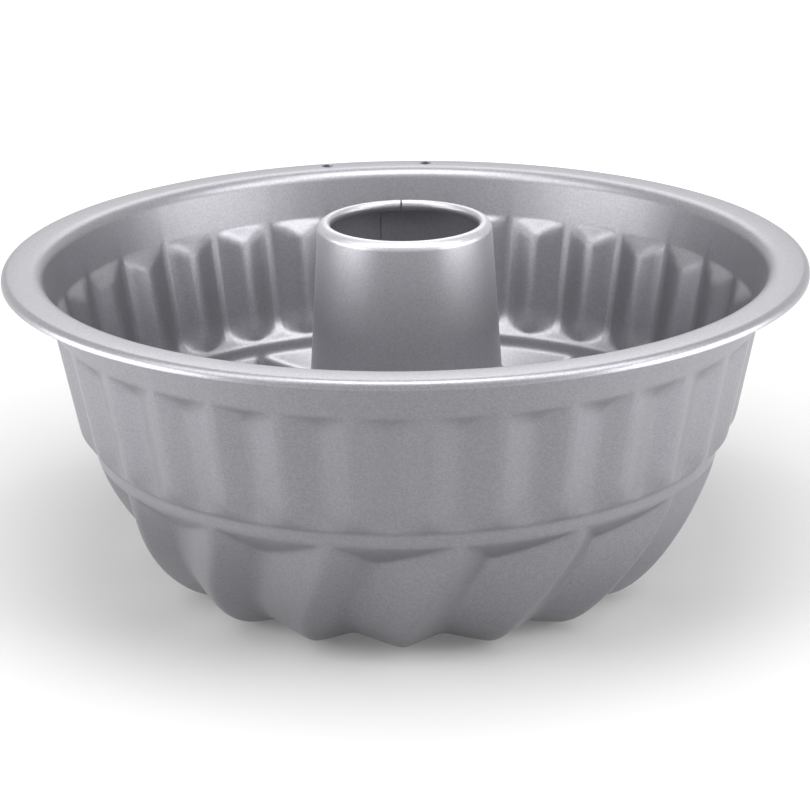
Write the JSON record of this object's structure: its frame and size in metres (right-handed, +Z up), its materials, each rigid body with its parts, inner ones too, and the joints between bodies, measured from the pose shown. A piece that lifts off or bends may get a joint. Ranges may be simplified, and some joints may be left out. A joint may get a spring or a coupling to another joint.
{
  "type": "fluted tube pan",
  "caption": "Round pressed-steel cake pan with a flat rim, straight flutes above a plain ring, turning lobes below it, and a rolled centre tube crimped into the floor.",
  "frame": {"origin": "centre of the tube's axis, on the plane that the lobes stand on", "axes": "+Z up the tube's axis, towards the open mouth; the hanging holes and the tube's seam are at the back, near +Y"},
  "size_m": [0.2498, 0.2498, 0.1151],
  "materials": {
    "pan_coating": "satin metallic non-stick coating, fine sparkle",
    "tube_coating": "satin metallic non-stick coating, fine sparkle"
  },
  "bodies": {
    "root": {"pan_shell": "pan_coating", "centre_tube": "tube_coating"}
  },
  "joints": []
}
